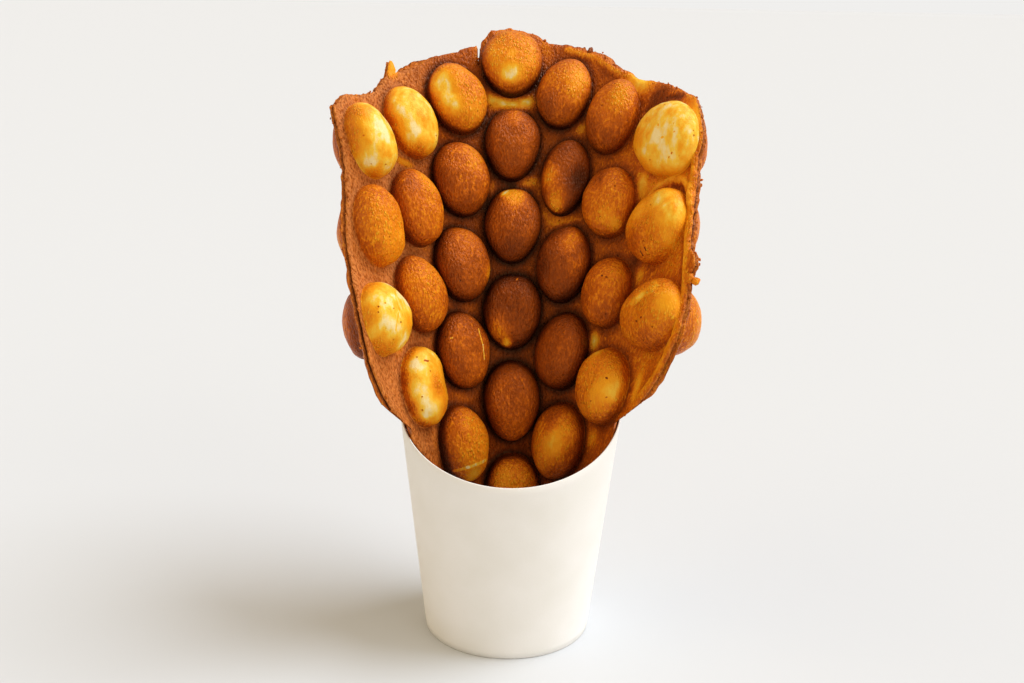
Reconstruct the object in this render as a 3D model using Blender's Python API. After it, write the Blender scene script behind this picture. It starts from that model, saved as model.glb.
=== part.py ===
"""Bubble waffle curled into a leaning scoop and stood in a white paper cup.

Two solids: the waffle sheet with a bubble field on both faces, and the open
paper cup with its slanted rim. Metres, +Z up, the cup's foot on z = 0 with its
centre at the origin, and the open side of the curl facing -Y.
"""
import math

import bmesh
import bpy
import numpy as np
from mathutils import Vector
from mathutils.geometry import delaunay_2d_cdt

# Paper cup
FOOT_RADIUS = 0.0305
CUP_TAPER = 0.114
RIM_FRONT_Z = 0.0685
RIM_SLOPE = math.tan(math.radians(23.6))
CUP_WALL = 0.0006
CUP_BOTTOM = 0.0010
CUP_SEGMENTS = 64
CUP_BANDS = 5

# Flat bubble sheet, u across and v up, before it is curled
COLUMN_PITCH = 0.0201
ROW_PITCH = 0.0313
HALF_COLUMNS = 3
CENTRE_ROWS = 6
BUBBLE_ACROSS = 0.0105
BUBBLE_UP = 0.0137
BUBBLE_HEIGHT = 0.0102
HALF_WEB = 0.0016
DOME_SEGMENTS = 14
DOME = ((0.97, 0.00), (1.00, 0.30), (0.87, 0.62), (0.52, 0.89))

# Small unevenness of the bubbles, as shares of their size and height, and their tilt
UNEVEN_SIZE = 0.02
UNEVEN_HEIGHT = 0.06
UNEVEN_TILT = math.radians(4.0)

# Torn edge: step along it, room round the bubbles, raggedness, and how far its middle stands out
EDGE_STEP = 0.0036
EDGE_MARGIN = 1.09
EDGE_RAGGED = 0.0005
SHORTEST_RAGGED_STRETCH = 0.005
EDGE_BULGE = 1.006

# Curl of the sheet: a cone with its apex below, leaning back more towards its top
APEX_BELOW = 0.144
CURL_RADIUS = 0.067
TWIST = math.radians(-2.9)
LEAN = math.radians(16.0)
LEAN_PER_METRE = math.radians(141.0)
SIDE_LIFT_LEFT = 0.0113
SIDE_LIFT_RIGHT = 0.0123
SIDE_LIFT_AT = 0.061
SIDE_LIFT_POWER = 1.5
SHEET_X = 0.0025
SHEET_Y = 0.024
SHEET_Z = 0.1296

# Two slow waves in the web: depth, then radians per metre across and up, and phase
WAVE_DEPTH = 0.0006
WAVES = ((95, 40, 0.0), (-60, 130, 1.3))

# Room between the waffle and the cup wall, and how fast the waffle opens out above the rim
CUP_GAP = 0.0005
RIM_BLEND = 0.005
OPENING_OUT = 0.8

# Shading of the plain solids
SHARP_ANGLE = math.radians(50)
BATTER_COLOUR = (0.50, 0.20, 0.04)
BATTER_ROUGHNESS = 0.6
PAPER_COLOUR = (0.86, 0.84, 0.80)
PAPER_ROUGHNESS = 0.75

# Bubbles seen out of their grid place, keyed by column and row from the top
NUDGE = {
    (-3, 0): (0.0011, -0.0003), (-3, 1): (0.0029, 0.0024), (-3, 2): (0.0013, 0.0020),
    (-2, 0): (-0.0001, -0.0006), (-2, 1): (0.0017, 0.0002), (-2, 2): (0.0016, 0.0010),
    (-2, 3): (0.0003, -0.0002), (-1, 0): (-0.0014, -0.0015), (-1, 2): (0.0002, 0.0004),
    (-1, 3): (0.0, 0.0006), (-1, 4): (-0.0020, -0.0024), (0, 0): (0.0, 0.0002),
    (0, 2): (0.0002, 0.0012), (0, 3): (0.0, 0.0008), (0, 4): (-0.0005, -0.0008),
    (0, 5): (-0.0003, -0.0032), (1, 0): (0.0, 0.0014), (1, 1): (0.0003, 0.0007),
    (1, 3): (-0.0002, -0.0003), (1, 4): (-0.0010, -0.0018), (2, 0): (-0.0013, 0.0024),
    (2, 1): (-0.0022, 0.0023), (2, 2): (-0.0020, 0.0012), (2, 3): (-0.0008, -0.0012),
    (3, 0): (0.0020, -0.0012), (3, 1): (-0.0006, 0.0008), (3, 2): (0.0017, 0.0008),
}

# Bubbles seen wider, narrower, taller or shorter than the rest
STRETCH = {
    (-3, 0): (0.94, 0.88), (-3, 1): (0.95, 1.00), (-3, 2): (0.99, 0.97), (-2, 0): (0.96, 0.95),
    (-2, 1): (0.98, 1.00), (-2, 3): (0.92, 1.08), (-1, 0): (1.04, 0.98), (-1, 1): (1.03, 1.00),
    (-1, 2): (1.01, 1.01), (-1, 3): (1.04, 1.03), (-1, 4): (1.07, 1.04), (0, 0): (1.09, 0.95),
    (0, 2): (1.02, 1.02), (0, 3): (1.08, 1.01), (0, 4): (1.08, 1.08), (0, 5): (1.06, 1.00),
    (1, 0): (1.00, 0.97), (1, 1): (0.89, 1.01), (1, 3): (1.04, 1.02), (1, 4): (1.04, 1.05),
    (2, 0): (0.98, 0.94), (2, 1): (0.95, 0.95), (2, 2): (0.91, 0.95), (2, 3): (1.02, 1.04),
    (3, 0): (1.07, 1.16), (3, 1): (1.12, 1.06), (3, 2): (1.03, 1.14),
}

# Bubbles seen turned in the sheet, in degrees
TURN = {
    (-3, 0): 5.0, (-3, 1): -8.0, (-3, 2): -38.0, (-2, 0): 5.0, (-2, 3): -12.0, (-1, 0): 7.0,
    (2, 0): -5.0, (2, 1): 13.0, (2, 2): 10.0, (2, 3): 12.0, (3, 0): 36.0, (3, 1): 42.0, (3, 2): 52.0,
}

# Torn outline of the sheet in millimetres, clockwise from the top
OUTLINE = (
    (0, 94), (9, 91), (14, 87), (22, 84), (33, 77), (43, 66), (49, 60), (58, 54), (66, 47),
    (73, 39), (75, 31), (74, 20), (74.5, 8), (75, -8), (76, -15), (79, -18), (80, -22),
    (77, -25), (77, -36), (76, -45), (70, -53), (60, -58), (50, -65), (38, -73), (31, -78),
    (20, -84), (12, -91), (0, -94), (-12, -91), (-20, -84), (-31, -78), (-41, -71),
    (-52, -64), (-62, -56), (-69, -47), (-71, -30), (-70, -12), (-69, 7), (-70, 24),
    (-72, 37), (-69, 43), (-60, 48), (-53, 53), (-48.5, 61), (-47.3, 67.5), (-46.6, 67.5),
    (-45.5, 64), (-38, 69), (-31, 75), (-22, 80), (-14, 84.5), (-13.3, 77), (-12.5, 77),
    (-11.6, 86), (-8, 91),
)


def clear_scene():
    for item in list(bpy.data.objects):
        bpy.data.objects.remove(item, do_unlink=True)


def wobble(*terms):
    """Repeatable small unevenness between -1 and 1."""
    return math.sin(12.9898 * sum((k + 1.37) * t for k, t in enumerate(terms)) + 0.7)


def bubbles():
    """Centre, half width, half length, height and tilt of every bubble."""
    found = []
    for column in range(-HALF_COLUMNS, HALF_COLUMNS + 1):
        rows = CENTRE_ROWS - abs(column)
        for row in range(rows):
            shift = NUDGE.get((column, row), (0.0, 0.0))
            stretch = STRETCH.get((column, row), (1.0, 1.0))
            uneven = 1.0 + UNEVEN_SIZE * wobble(column, row)
            u = column * COLUMN_PITCH + shift[0]
            v = ((rows - 1) / 2 - row) * ROW_PITCH + shift[1]
            across = BUBBLE_ACROSS * stretch[0] * uneven
            up = BUBBLE_UP * stretch[1] / uneven
            height = BUBBLE_HEIGHT * (1.0 + UNEVEN_HEIGHT * wobble(row, column, 3))
            turn = math.radians(TURN.get((column, row), 0.0))
            tilt = turn + UNEVEN_TILT * wobble(column, row, 5)
            found.append((u, v, across, up, height, tilt))
    return found


def curl(u, v, h):
    """Place flat sheet points at height h over the web's mid-plane, inner side positive."""
    u, v, h = (np.asarray(t, dtype=float) for t in (u, v, h))
    cone = math.atan(CURL_RADIUS / APEX_BELOW)
    sin_c = math.sin(cone)
    cos_c = math.cos(cone)
    h = h + sum(WAVE_DEPTH * np.sin(across * u + up * v + phase) for across, up, phase in WAVES)
    reach = np.hypot(u, v + APEX_BELOW)
    turn = np.arctan2(u, v + APEX_BELOW) / sin_c + TWIST
    lift = np.abs(u / SIDE_LIFT_AT) ** SIDE_LIFT_POWER
    lift = lift * np.where(u < 0, SIDE_LIFT_LEFT, SIDE_LIFT_RIGHT)
    along = reach * (cos_c**2 + sin_c**2 * np.cos(turn)) - APEX_BELOW + lift
    inward = reach * sin_c * cos_c * (1 - np.cos(turn))
    side = reach * sin_c * np.sin(turn)
    side = side - h * cos_c * np.sin(turn)
    along = along + h * sin_c * cos_c * (1 - np.cos(turn))
    inward = inward + h * (cos_c**2 * np.cos(turn) + sin_c**2)
    lean = LEAN + LEAN_PER_METRE * along
    back = (math.cos(LEAN) - np.cos(lean)) / LEAN_PER_METRE
    rise = (np.sin(lean) - math.sin(LEAN)) / LEAN_PER_METRE
    x = SHEET_X + side
    y = SHEET_Y + back - inward * np.cos(lean)
    z = SHEET_Z + rise + inward * np.sin(lean)
    return press_into_cup(np.stack([x, y, z], axis=-1))


def press_into_cup(points):
    """Hold the points inside the cup wall, easing off above the rim."""
    x, y, z = points[..., 0], points[..., 1], points[..., 2]
    radius = np.hypot(x, y)
    front = FOOT_RADIUS + CUP_TAPER * RIM_FRONT_Z
    rim = RIM_FRONT_Z + (y + front) * RIM_SLOPE
    room = FOOT_RADIUS + CUP_TAPER * z - CUP_WALL - CUP_GAP
    room = room + np.maximum(0.0, z - rim - RIM_BLEND) * OPENING_OUT
    factor = np.minimum(1.0, room / np.maximum(radius, 1e-6))
    return np.stack([x * factor, y * factor, z], axis=-1)


def outline_points(field):
    """Even steps along the torn outline, kept clear of every bubble's foot."""
    corners = [(u / 1000, v / 1000) for u, v in OUTLINE]
    points = []
    for index, start in enumerate(corners):
        end = corners[(index + 1) % len(corners)]
        length = math.dist(start, end)
        steps = max(1, round(length / EDGE_STEP))
        for step in range(steps):
            t = step / steps
            u = start[0] + (end[0] - start[0]) * t
            v = start[1] + (end[1] - start[1]) * t
            ragged = length > SHORTEST_RAGGED_STRETCH
            rough = EDGE_RAGGED * wobble(len(points), 7) if ragged else 0.0
            reach = math.hypot(u, v)
            points.append((u * (1 + rough / reach), v * (1 + rough / reach)))
    kept = []
    for u, v in points:
        for cu, cv, across, up, _, tilt in field:
            du = (u - cu) * math.cos(tilt) + (v - cv) * math.sin(tilt)
            dv = (v - cv) * math.cos(tilt) - (u - cu) * math.sin(tilt)
            near = math.hypot(du / across, dv / up)
            if near < EDGE_MARGIN:
                u = cu + (u - cu) * EDGE_MARGIN / near
                v = cv + (v - cv) * EDGE_MARGIN / near
        kept.append((u, v))
    return kept


def ring(bubble, share):
    """Flat points of one dome ring."""
    cu, cv, across, up, _, tilt = bubble
    points = []
    for step in range(DOME_SEGMENTS):
        angle = 2 * math.pi * (step + 0.5) / DOME_SEGMENTS
        du = share * across * math.cos(angle)
        dv = share * up * math.sin(angle)
        turned_u = du * math.cos(tilt) - dv * math.sin(tilt)
        turned_v = du * math.sin(tilt) + dv * math.cos(tilt)
        points.append((cu + turned_u, cv + turned_v))
    return points


def add_face(mesh, verts, flip):
    mesh.faces.new(list(reversed(verts)) if flip else verts)


def build_waffle(field):
    edge = outline_points(field)
    flat = [Vector(p) for p in edge]
    loops = [list(range(len(edge)))]
    for bubble in field:
        base = ring(bubble, DOME[0][0])
        loops.append(list(range(len(flat), len(flat) + len(base))))
        flat += [Vector(p) for p in base]
    edges = [(loop[k], loop[(k + 1) % len(loop)]) for loop in loops for k in range(len(loop))]
    out_verts, _, faces, origin, _, _ = delaunay_2d_cdt(flat, edges, [], 1, 1e-7)
    if len(out_verts) != len(flat):
        raise ValueError("the outline crosses itself or a bubble")
    owner = {}
    for number, loop in enumerate(loops):
        for index in loop:
            owner[index] = number
    source = {k: origin[k][0] for k in range(len(out_verts))}
    web = []
    for face in faces:
        corners = [source[k] for k in face]
        loops_met = {owner[k] for k in corners}
        if len(loops_met) == 1 and 0 not in loops_met:
            continue
        middle = sum((flat[k] for k in corners), Vector((0, 0))) / len(corners)
        if not inside(middle, edge):
            continue
        web.append(corners)
    mesh = bmesh.new()
    sides = {}
    for sign in (1, -1):
        placed = curl([p[0] for p in flat], [p[1] for p in flat], [sign * HALF_WEB] * len(flat))
        sides[sign] = [mesh.verts.new(tuple(p)) for p in placed]
        for corners in web:
            add_face(mesh, [sides[sign][k] for k in corners], sign < 0)
        for number, bubble in enumerate(field, start=1):
            build_dome(mesh, bubble, [sides[sign][k] for k in loops[number]], sign)
    bulge_u = [u * EDGE_BULGE for u, _ in edge]
    bulge_v = [v * EDGE_BULGE for _, v in edge]
    belt = [mesh.verts.new(tuple(p)) for p in curl(bulge_u, bulge_v, [0.0] * len(edge))]
    count = len(edge)
    for k in range(count):
        n = (k + 1) % count
        for sign in (1, -1):
            low, high = (belt, sides[1]) if sign > 0 else (sides[-1], belt)
            mesh.faces.new((low[n], low[k], high[k]))
            mesh.faces.new((low[n], high[k], high[n]))
    return finish(mesh, "waffle")


def build_dome(mesh, bubble, base, sign):
    """One bubble's half on one face of the web."""
    cu, cv, _, _, height, _ = bubble
    lower = base
    for share, level in DOME[1:]:
        h = sign * (HALF_WEB + height * level)
        spread = 1.0 / (1.0 - h / CURL_RADIUS)
        points = ring(bubble, share)
        us = [cu + (p[0] - cu) * spread for p in points]
        placed = curl(us, [p[1] for p in points], [h] * len(points))
        upper = [mesh.verts.new(tuple(p)) for p in placed]
        for k in range(DOME_SEGMENTS):
            n = (k + 1) % DOME_SEGMENTS
            add_face(mesh, [lower[k], lower[n], upper[n]], sign < 0)
            add_face(mesh, [lower[k], upper[n], upper[k]], sign < 0)
        lower = upper
    top = curl([cu], [cv], [sign * (HALF_WEB + height)])[0]
    crown = mesh.verts.new(tuple(top))
    for k in range(DOME_SEGMENTS):
        add_face(mesh, [lower[k], lower[(k + 1) % DOME_SEGMENTS], crown], sign < 0)


def inside(point, loop):
    """Whether a flat point lies within a closed loop."""
    found = False
    for k, (u, v) in enumerate(loop):
        pu, pv = loop[k - 1]
        if (v > point[1]) != (pv > point[1]):
            if point[0] < (pu - u) * (point[1] - v) / (pv - v) + u:
                found = not found
    return found


def rim_height(radius, sine):
    """Height at which the slanted rim cuts a wall line with this foot radius."""
    front = FOOT_RADIUS + CUP_TAPER * RIM_FRONT_Z
    top = RIM_FRONT_Z + (radius * sine + front) * RIM_SLOPE
    return top / (1 - CUP_TAPER * sine * RIM_SLOPE)


def build_cup():
    mesh = bmesh.new()

    def wall(inset, start):
        rows = []
        for band in range(CUP_BANDS + 1):
            row = []
            for step in range(CUP_SEGMENTS):
                angle = 2 * math.pi * step / CUP_SEGMENTS
                foot = FOOT_RADIUS - inset
                z = start + (rim_height(foot, math.sin(angle)) - start) * band / CUP_BANDS
                radius = foot + CUP_TAPER * z
                row.append(mesh.verts.new((radius * math.cos(angle), radius * math.sin(angle), z)))
            rows.append(row)
        return rows

    outer = wall(0.0, 0.0)
    inner = wall(CUP_WALL, CUP_BOTTOM)
    strips = list(zip(outer, outer[1:])) + [(outer[-1], inner[-1])]
    strips += [(high, low) for low, high in zip(inner, inner[1:])]
    for low, high in strips:
        for k in range(CUP_SEGMENTS):
            n = (k + 1) % CUP_SEGMENTS
            mesh.faces.new((low[k], low[n], high[n], high[k]))
    for row, z, flip in ((outer[0], 0.0, True), (inner[0], CUP_BOTTOM, False)):
        centre = mesh.verts.new((0.0, 0.0, z))
        for k in range(CUP_SEGMENTS):
            add_face(mesh, [row[k], row[(k + 1) % CUP_SEGMENTS], centre], flip)
    return finish(mesh, "paper_cup")


def finish(mesh, name):
    bmesh.ops.triangulate(mesh, faces=mesh.faces[:])
    bmesh.ops.recalc_face_normals(mesh, faces=mesh.faces[:])
    data = bpy.data.meshes.new(name)
    mesh.to_mesh(data)
    mesh.free()
    item = bpy.data.objects.new(name, data)
    bpy.context.scene.collection.objects.link(item)
    data.shade_smooth()
    data.set_sharp_from_angle(angle=SHARP_ANGLE)
    return item


def paint(item, colour, roughness):
    material = bpy.data.materials.new(item.name)
    material.use_nodes = True
    shader = material.node_tree.nodes["Principled BSDF"]
    shader.inputs["Base Color"].default_value = (*colour, 1.0)
    shader.inputs["Roughness"].default_value = roughness
    item.data.materials.append(material)


clear_scene()
waffle = build_waffle(bubbles())
cup = build_cup()
paint(waffle, BATTER_COLOUR, BATTER_ROUGHNESS)
paint(cup, PAPER_COLOUR, PAPER_ROUGHNESS)
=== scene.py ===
"""Looks of the bubble waffle in its paper cup: the baked sheet, its crumbs, the cup, light and camera."""
import math

import bpy
import numpy as np
from mathutils import Matrix, Vector, kdtree, noise
from mathutils.geometry import delaunay_2d_cdt


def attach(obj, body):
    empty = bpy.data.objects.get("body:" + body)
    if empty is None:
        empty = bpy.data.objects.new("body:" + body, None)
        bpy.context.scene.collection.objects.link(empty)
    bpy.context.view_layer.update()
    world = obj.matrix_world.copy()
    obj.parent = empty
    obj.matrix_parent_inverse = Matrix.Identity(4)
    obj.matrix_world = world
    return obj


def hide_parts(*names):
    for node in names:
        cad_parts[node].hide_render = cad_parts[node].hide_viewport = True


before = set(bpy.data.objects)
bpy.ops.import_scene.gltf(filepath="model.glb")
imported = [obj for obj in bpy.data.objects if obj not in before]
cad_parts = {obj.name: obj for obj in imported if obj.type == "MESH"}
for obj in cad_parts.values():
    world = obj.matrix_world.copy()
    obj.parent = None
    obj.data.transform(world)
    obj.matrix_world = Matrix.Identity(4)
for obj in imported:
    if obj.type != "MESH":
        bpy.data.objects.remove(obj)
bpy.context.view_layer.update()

# Camera, fitted to the cup and to the rows of bubbles
CAMERA_DISTANCE = 0.450
CAMERA_ELEVATION = math.radians(15.4)
CAMERA_ROLL = math.radians(1.13)
AIM_HEIGHT = 0.1095
FOCAL_PX = 1258
FRAME_WIDTH_PX = 1024
SENSOR_MM = 36

# Paper cup
FOOT_RADIUS = 0.0305
CUP_TAPER = 0.114
RIM_FRONT_Z = 0.0685
RIM_SLOPE = math.tan(math.radians(23.6))
PAPER = 0.0006
CUP_BOTTOM = 0.0010
SEGMENTS = 168
BANDS = 26
SEAM_AT = math.radians(118)
SEAM_HALF = math.radians(8)

# Flat bubble sheet, u across and v up, before it is curled
COLUMN_PITCH = 0.0201
ROW_PITCH = 0.0313
HALF_COLUMNS = 3
CENTRE_ROWS = 6
BUBBLE_ACROSS = 0.0105
BUBBLE_UP = 0.0137
BUBBLE_HEIGHT = 0.0102
HALF_WEB = 0.0016
FOOT_SHARE = 1.015
BODY_SHARE = 0.985
AROUND = 54
UP_THE_SIDE = 20
DOME_POWER = 0.84
EDGE_STEP = 0.0009
WEB_STEP = 0.0012
EDGE_GAP = 0.0007
# Width of the painted shade in the groove beside each bubble's foot
GROOVE_SHADE_WIDTH = 0.0013

# Curl of the sheet: a cone with its apex below, leaning back more towards its top
APEX_BELOW = 0.144
CURL_RADIUS = 0.067
TWIST = math.radians(-2.9)
LEAN = math.radians(16.0)
LEAN_PER_METRE = math.radians(141.0)
SIDE_LIFT_LEFT = 0.0113
SIDE_LIFT_RIGHT = 0.0123
SIDE_LIFT_AT = 0.061
SHEET_X = 0.0025
SHEET_Y = 0.024
SHEET_Z = 0.1296
WAVE = 0.0006
CUP_GAP = 0.0005
RIM_BLEND = 0.005

# Bubbles off the even grid: shift and stretch, each across and up, and turn in degrees
OFF_GRID = {
    (-3, 0): (0.0011, -0.0003, 0.94, 0.88, 5), (-3, 1): (0.0029, 0.0024, 0.95, 1.00, -8),
    (-3, 2): (0.0013, 0.0020, 0.99, 0.97, -38), (-2, 0): (-0.0001, -0.0006, 0.96, 0.95, 5),
    (-2, 1): (0.0017, 0.0002, 0.98, 1.00, 0), (-2, 2): (0.0016, 0.0010, 1.00, 1.00, 0),
    (-2, 3): (0.0003, -0.0002, 0.92, 1.08, -12), (-1, 0): (-0.0014, -0.0015, 1.04, 0.98, 7),
    (-1, 1): (0.0, 0.0, 1.03, 1.00, 0), (-1, 2): (0.0002, 0.0004, 1.01, 1.01, 0),
    (-1, 3): (0.0, 0.0006, 1.04, 1.03, 0), (-1, 4): (-0.0020, -0.0024, 1.07, 1.04, 0),
    (0, 0): (0.0, 0.0002, 1.09, 0.95, 0), (0, 2): (0.0002, 0.0012, 1.02, 1.02, 0),
    (0, 3): (0.0, 0.0008, 1.08, 1.01, 0), (0, 4): (-0.0005, -0.0008, 1.08, 1.08, 0),
    (0, 5): (-0.0003, -0.0032, 1.06, 1.00, 0), (1, 0): (0.0, 0.0014, 1.00, 0.97, 0),
    (1, 1): (0.0003, 0.0007, 0.89, 1.01, 0), (1, 3): (-0.0002, -0.0003, 1.04, 1.02, 0),
    (1, 4): (-0.0010, -0.0018, 1.04, 1.05, 0), (2, 0): (-0.0013, 0.0024, 0.98, 0.94, -5),
    (2, 1): (-0.0022, 0.0023, 0.95, 0.95, 13), (2, 2): (-0.0020, 0.0012, 0.91, 0.95, 10),
    (2, 3): (-0.0008, -0.0012, 1.02, 1.04, 12), (3, 0): (0.0020, -0.0012, 1.07, 1.16, 36),
    (3, 1): (-0.0006, 0.0008, 1.12, 1.06, 42), (3, 2): (0.0017, 0.0008, 1.03, 1.14, 52),
}

# Torn outline of the sheet in millimetres, clockwise from the top
OUTLINE = (
    (0, 94), (9, 91), (14, 87), (22, 84), (33, 77), (43, 66), (49, 60), (58, 54), (66, 47),
    (73, 39), (75, 31), (74, 20), (74.5, 8), (75, -8), (76, -15), (79, -18), (80, -22),
    (77, -25), (77, -36), (76, -45), (70, -53), (60, -58), (50, -65), (38, -73), (31, -78),
    (20, -84), (12, -91), (0, -94), (-12, -91), (-20, -84), (-31, -78), (-41, -71),
    (-52, -64), (-62, -56), (-69, -47), (-71, -30), (-70, -12), (-69, 7), (-70, 24),
    (-72, 37), (-69, 43), (-60, 48), (-53, 53), (-48.5, 61), (-47.3, 67.5), (-46.6, 67.5),
    (-45.5, 64), (-38, 69), (-31, 75), (-22, 80), (-14, 84.5), (-13.3, 77), (-12.5, 77),
    (-11.6, 86), (-8, 91),
)

# How far each front bubble is baked, 0 pale to 1 dark, then its patches:
# (across, up) in half sizes of the bubble, reach, and how far the patch is baked.
# Some patches are painted light: darker patches at the bottom of the middle bubbles and on the right
# of (1, 1) are painted shade, and the pale spot low on (0, 0) and the golden patches on the upper
# right of (1, 2) and the right of (3, 1) are painted highlights.
FRONT_BAKE_AND_PAINTED_LIGHT = {
    (-3, 0): (0.14, ((-0.12, 0.07, 0.3, 0.0), (-0.47, -0.77, 0.28, 0.03), (-1.0, -0.2, 0.3, 0.44),
        (-0.08, -0.98, 0.18, 0.34), (-0.8, 0.45, 0.35, 0.44))),
    (-3, 1): (0.44, ((0.3, -0.5, 0.6, 0.36), (-0.3, 0.7, 0.5, 0.5))),
    (-3, 2): (0.14, ((-0.68, -0.3, 0.22, 0.0), (-0.1, -0.47, 0.26, 0.02), (-0.1, 0.55, 0.26, 0.0),
        (-0.28, -0.9, 0.16, 0.02), (0.5, 0.1, 0.3, 0.28), (-0.95, 0.25, 0.24, 0.34),
        (0.45, -0.85, 0.28, 0.38))),
    (-2, 0): (0.15, ((-0.6, 0.0, 0.26, 0.0), (-0.32, -0.42, 0.24, 0.0), (-1.0, -0.3, 0.26, 0.52),
        (-0.05, -0.98, 0.34, 0.48))),
    (-2, 1): (0.52, ((-0.6, 0.5, 0.5, 0.62), (0.2, 0.7, 0.4, 0.4))),
    (-2, 2): (0.5, ((0.2, 0.5, 0.5, 0.46), (-0.7, 0.0, 0.4, 0.48), (0.65, -0.1, 0.34, 0.6))),
    (-2, 3): (0.16, ((-0.8, 0.25, 0.22, 0.06), (-0.62, -0.35, 0.24, 0.0), (-0.3, -0.78, 0.22, 0.08),
        (0.05, 0.05, 0.36, 0.46), (0.5, 0.3, 0.34, 0.3), (0.6, -0.4, 0.35, 0.44))),
    (-1, 0): (0.35, ((-0.57, 0.2, 0.34, 0.04), (-0.38, -0.3, 0.28, 0.08), (0.42, 0.07, 0.5, 0.46),
        (0.0, -0.8, 0.3, 0.42))),
    (-1, 1): (0.58, ((0.3, 0.6, 0.5, 0.47), (-0.75, -0.2, 0.45, 0.72), (0.1, -0.75, 0.34, 0.7))),
    (-1, 2): (0.66, ((0.95, -0.1, 0.28, 0.34), (0.0, 0.7, 0.5, 0.54), (-0.6, -0.4, 0.5, 0.74))),
    (-1, 3): (0.6, ((-0.6, -0.5, 0.5, 0.7), (0.3, 0.6, 0.45, 0.66))),
    (-1, 4): (0.42, ((0.1, -0.75, 0.3, 0.22), (-0.7, 0.2, 0.4, 0.54))),
    # (0, 0): the pale spot low on it is a painted highlight, the dark patch at its bottom painted shade
    (0, 0): (0.4, ((-0.05, -0.52, 0.27, 0.0), (-0.03, 0.07, 0.12, 0.26), (-0.1, 0.65, 0.4, 0.46),
        (0.0, -1.0, 0.24, 0.62))),
    # (0, 1): lighter top and darker bottom are painted light and shade; (0, 2): darker bottom is painted
    # shade
    (0, 1): (0.7, ((0.3, 0.1, 0.4, 0.64), (0.0, 0.65, 0.28, 0.5), (0.0, -0.8, 0.4, 0.72))),
    (0, 2): (0.68, ((0.0, 0.78, 0.4, 0.36), (-0.35, 0.84, 0.16, 0.12), (0.0, -0.8, 0.5, 0.84))),
    (0, 3): (0.78, ((-0.45, -0.5, 0.36, 0.48), (-0.15, -0.8, 0.15, 0.14))),
    (0, 4): (0.66, ((0.1, -0.7, 0.45, 0.6),)),
    (0, 5): (0.42, ((-0.3, 0.4, 0.4, 0.36),)),
    (1, 0): (0.5, ((0.5, 0.1, 0.45, 0.35), (-0.5, -0.5, 0.5, 0.74), (0.2, -0.8, 0.36, 0.66))),
    # (1, 1): the dark patch on the right is a painted shadow
    (1, 1): (0.7, ((-0.5, 0.0, 0.34, 0.42), (-0.2, -0.65, 0.36, 0.36), (0.0, 0.65, 0.36, 0.76),
        (0.65, -0.2, 0.45, 0.96))),
    # (1, 2): the golden patch on the upper right is a painted highlight
    (1, 2): (0.75, ((0.4, 0.5, 0.35, 0.48), (-0.7, 0.0, 0.38, 0.88), (0.6, -0.1, 0.32, 0.62))),
    (1, 3): (0.74, ((0.4, 0.0, 0.4, 0.66),)),
    (1, 4): (0.46, ((0.15, 0.0, 0.44, 0.22), (0.0, 0.75, 0.35, 0.68), (0.1, -0.75, 0.3, 0.62))),
    (2, 0): (0.54, ((0.42, 0.3, 0.4, 0.38), (-0.6, -0.5, 0.5, 0.74), (0.2, -0.8, 0.36, 0.7))),
    (2, 1): (0.5, ((0.0, -0.5, 0.28, 0.37), (0.15, -0.8, 0.2, 0.3), (0.0, 0.75, 0.42, 0.68),
        (-0.75, 0.0, 0.35, 0.58))),
    (2, 2): (0.54, ((0.6, 0.2, 0.45, 0.48), (0.0, -0.8, 0.4, 0.66), (-0.7, 0.0, 0.36, 0.66))),
    (2, 3): (0.42, ((0.75, -0.47, 0.36, 0.18), (0.25, 0.9, 0.22, 0.2), (0.3, -0.4, 0.35, 0.26),
        (-0.7, 0.1, 0.5, 0.54))),
    (3, 0): (0.13, ((-0.03, -0.15, 0.28, 0.0), (0.55, -0.55, 0.4, 0.13), (-0.45, 0.45, 0.35, 0.3),
        (-0.9, -0.15, 0.28, 0.34))),
    # (3, 1): the golden patches on its right side are painted highlights
    (3, 1): (0.42, ((0.5, -0.6, 0.42, 0.14), (0.6, 0.05, 0.34, 0.16), (0.1, 0.6, 0.34, 0.26),
        (-0.1, -0.92, 0.26, 0.32), (-0.6, 0.1, 0.4, 0.6))),
    (3, 2): (0.46, ((0.35, 0.1, 0.15, 0.22), (0.42, -0.8, 0.34, 0.24), (-0.75, -0.57, 0.34, 0.6),
        (-0.45, 0.15, 0.3, 0.52))),
}

# Bubbles of the outer face that are baked unlike the others there
BACK_BAKE = {(3, 2): 0.38, (3, 1): 0.42, (3, 0): 0.42, (-3, 2): 0.58}

# Dents and folds: (across, up) in half sizes, reach, and share of the height that they take
DENTS = {
    (1, 1): ((0.85, -0.1, 0.45, 0.40), (-0.2, -0.9, 0.4, 0.25)),
    (-2, 3): ((0.75, 0.35, 0.40, 0.22),),
    (0, 2): ((0.0, 0.62, 0.16, 0.06),),
    (-1, 0): ((-0.6, 0.1, 0.35, 0.10),),
    (3, 2): ((-0.3, 0.95, 0.30, 0.12),),
    (0, 0): ((-0.75, 0.5, 0.4, 0.12),),
    (-1, 1): ((-0.85, 0.45, 0.16, 0.20),),
    (-1, 4): ((0.1, -0.68, 0.14, 0.10),),
}

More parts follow.
